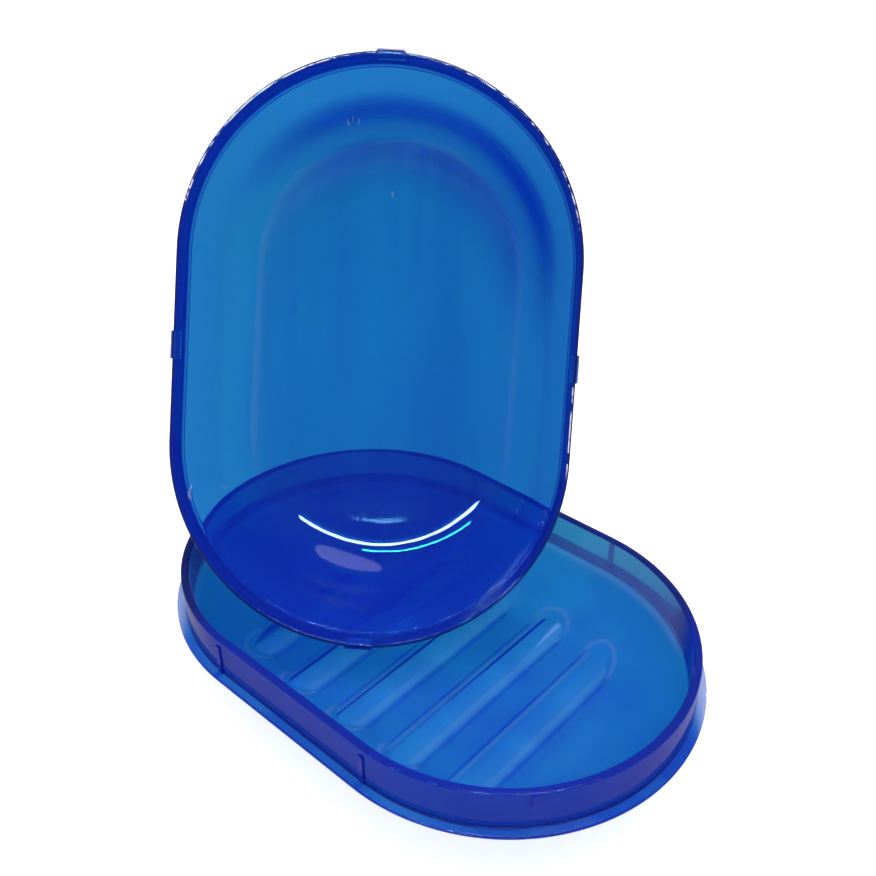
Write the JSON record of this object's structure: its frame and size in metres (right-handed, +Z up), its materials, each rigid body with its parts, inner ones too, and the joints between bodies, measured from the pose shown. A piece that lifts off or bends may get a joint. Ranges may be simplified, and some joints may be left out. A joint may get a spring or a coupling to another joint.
{
  "type": "soap dish",
  "caption": "Travel soap dish of clear blue plastic: a ridged stadium-shaped base tray, with its deep domed lid stood on end in it.",
  "frame": {"origin": "on the surface that the dish stands on, under the middle of the box that bounds both pieces", "axes": "+Z up, +X along the tray's length"},
  "size_m": [0.1256, 0.097, 0.1119],
  "materials": {
    "tray_plastic": "clear tinted gloss",
    "lid_plastic": "clear tinted gloss"
  },
  "bodies": {
    "base": {"base_tray": "tray_plastic"},
    "lid": {"lid": "lid_plastic"}
  },
  "joints": [
    {"name": "lid_lift", "type": "slide", "parent": "base", "child": "lid", "axis": [0, 0, 1], "range_m": [0, 0.12]}
  ]
}
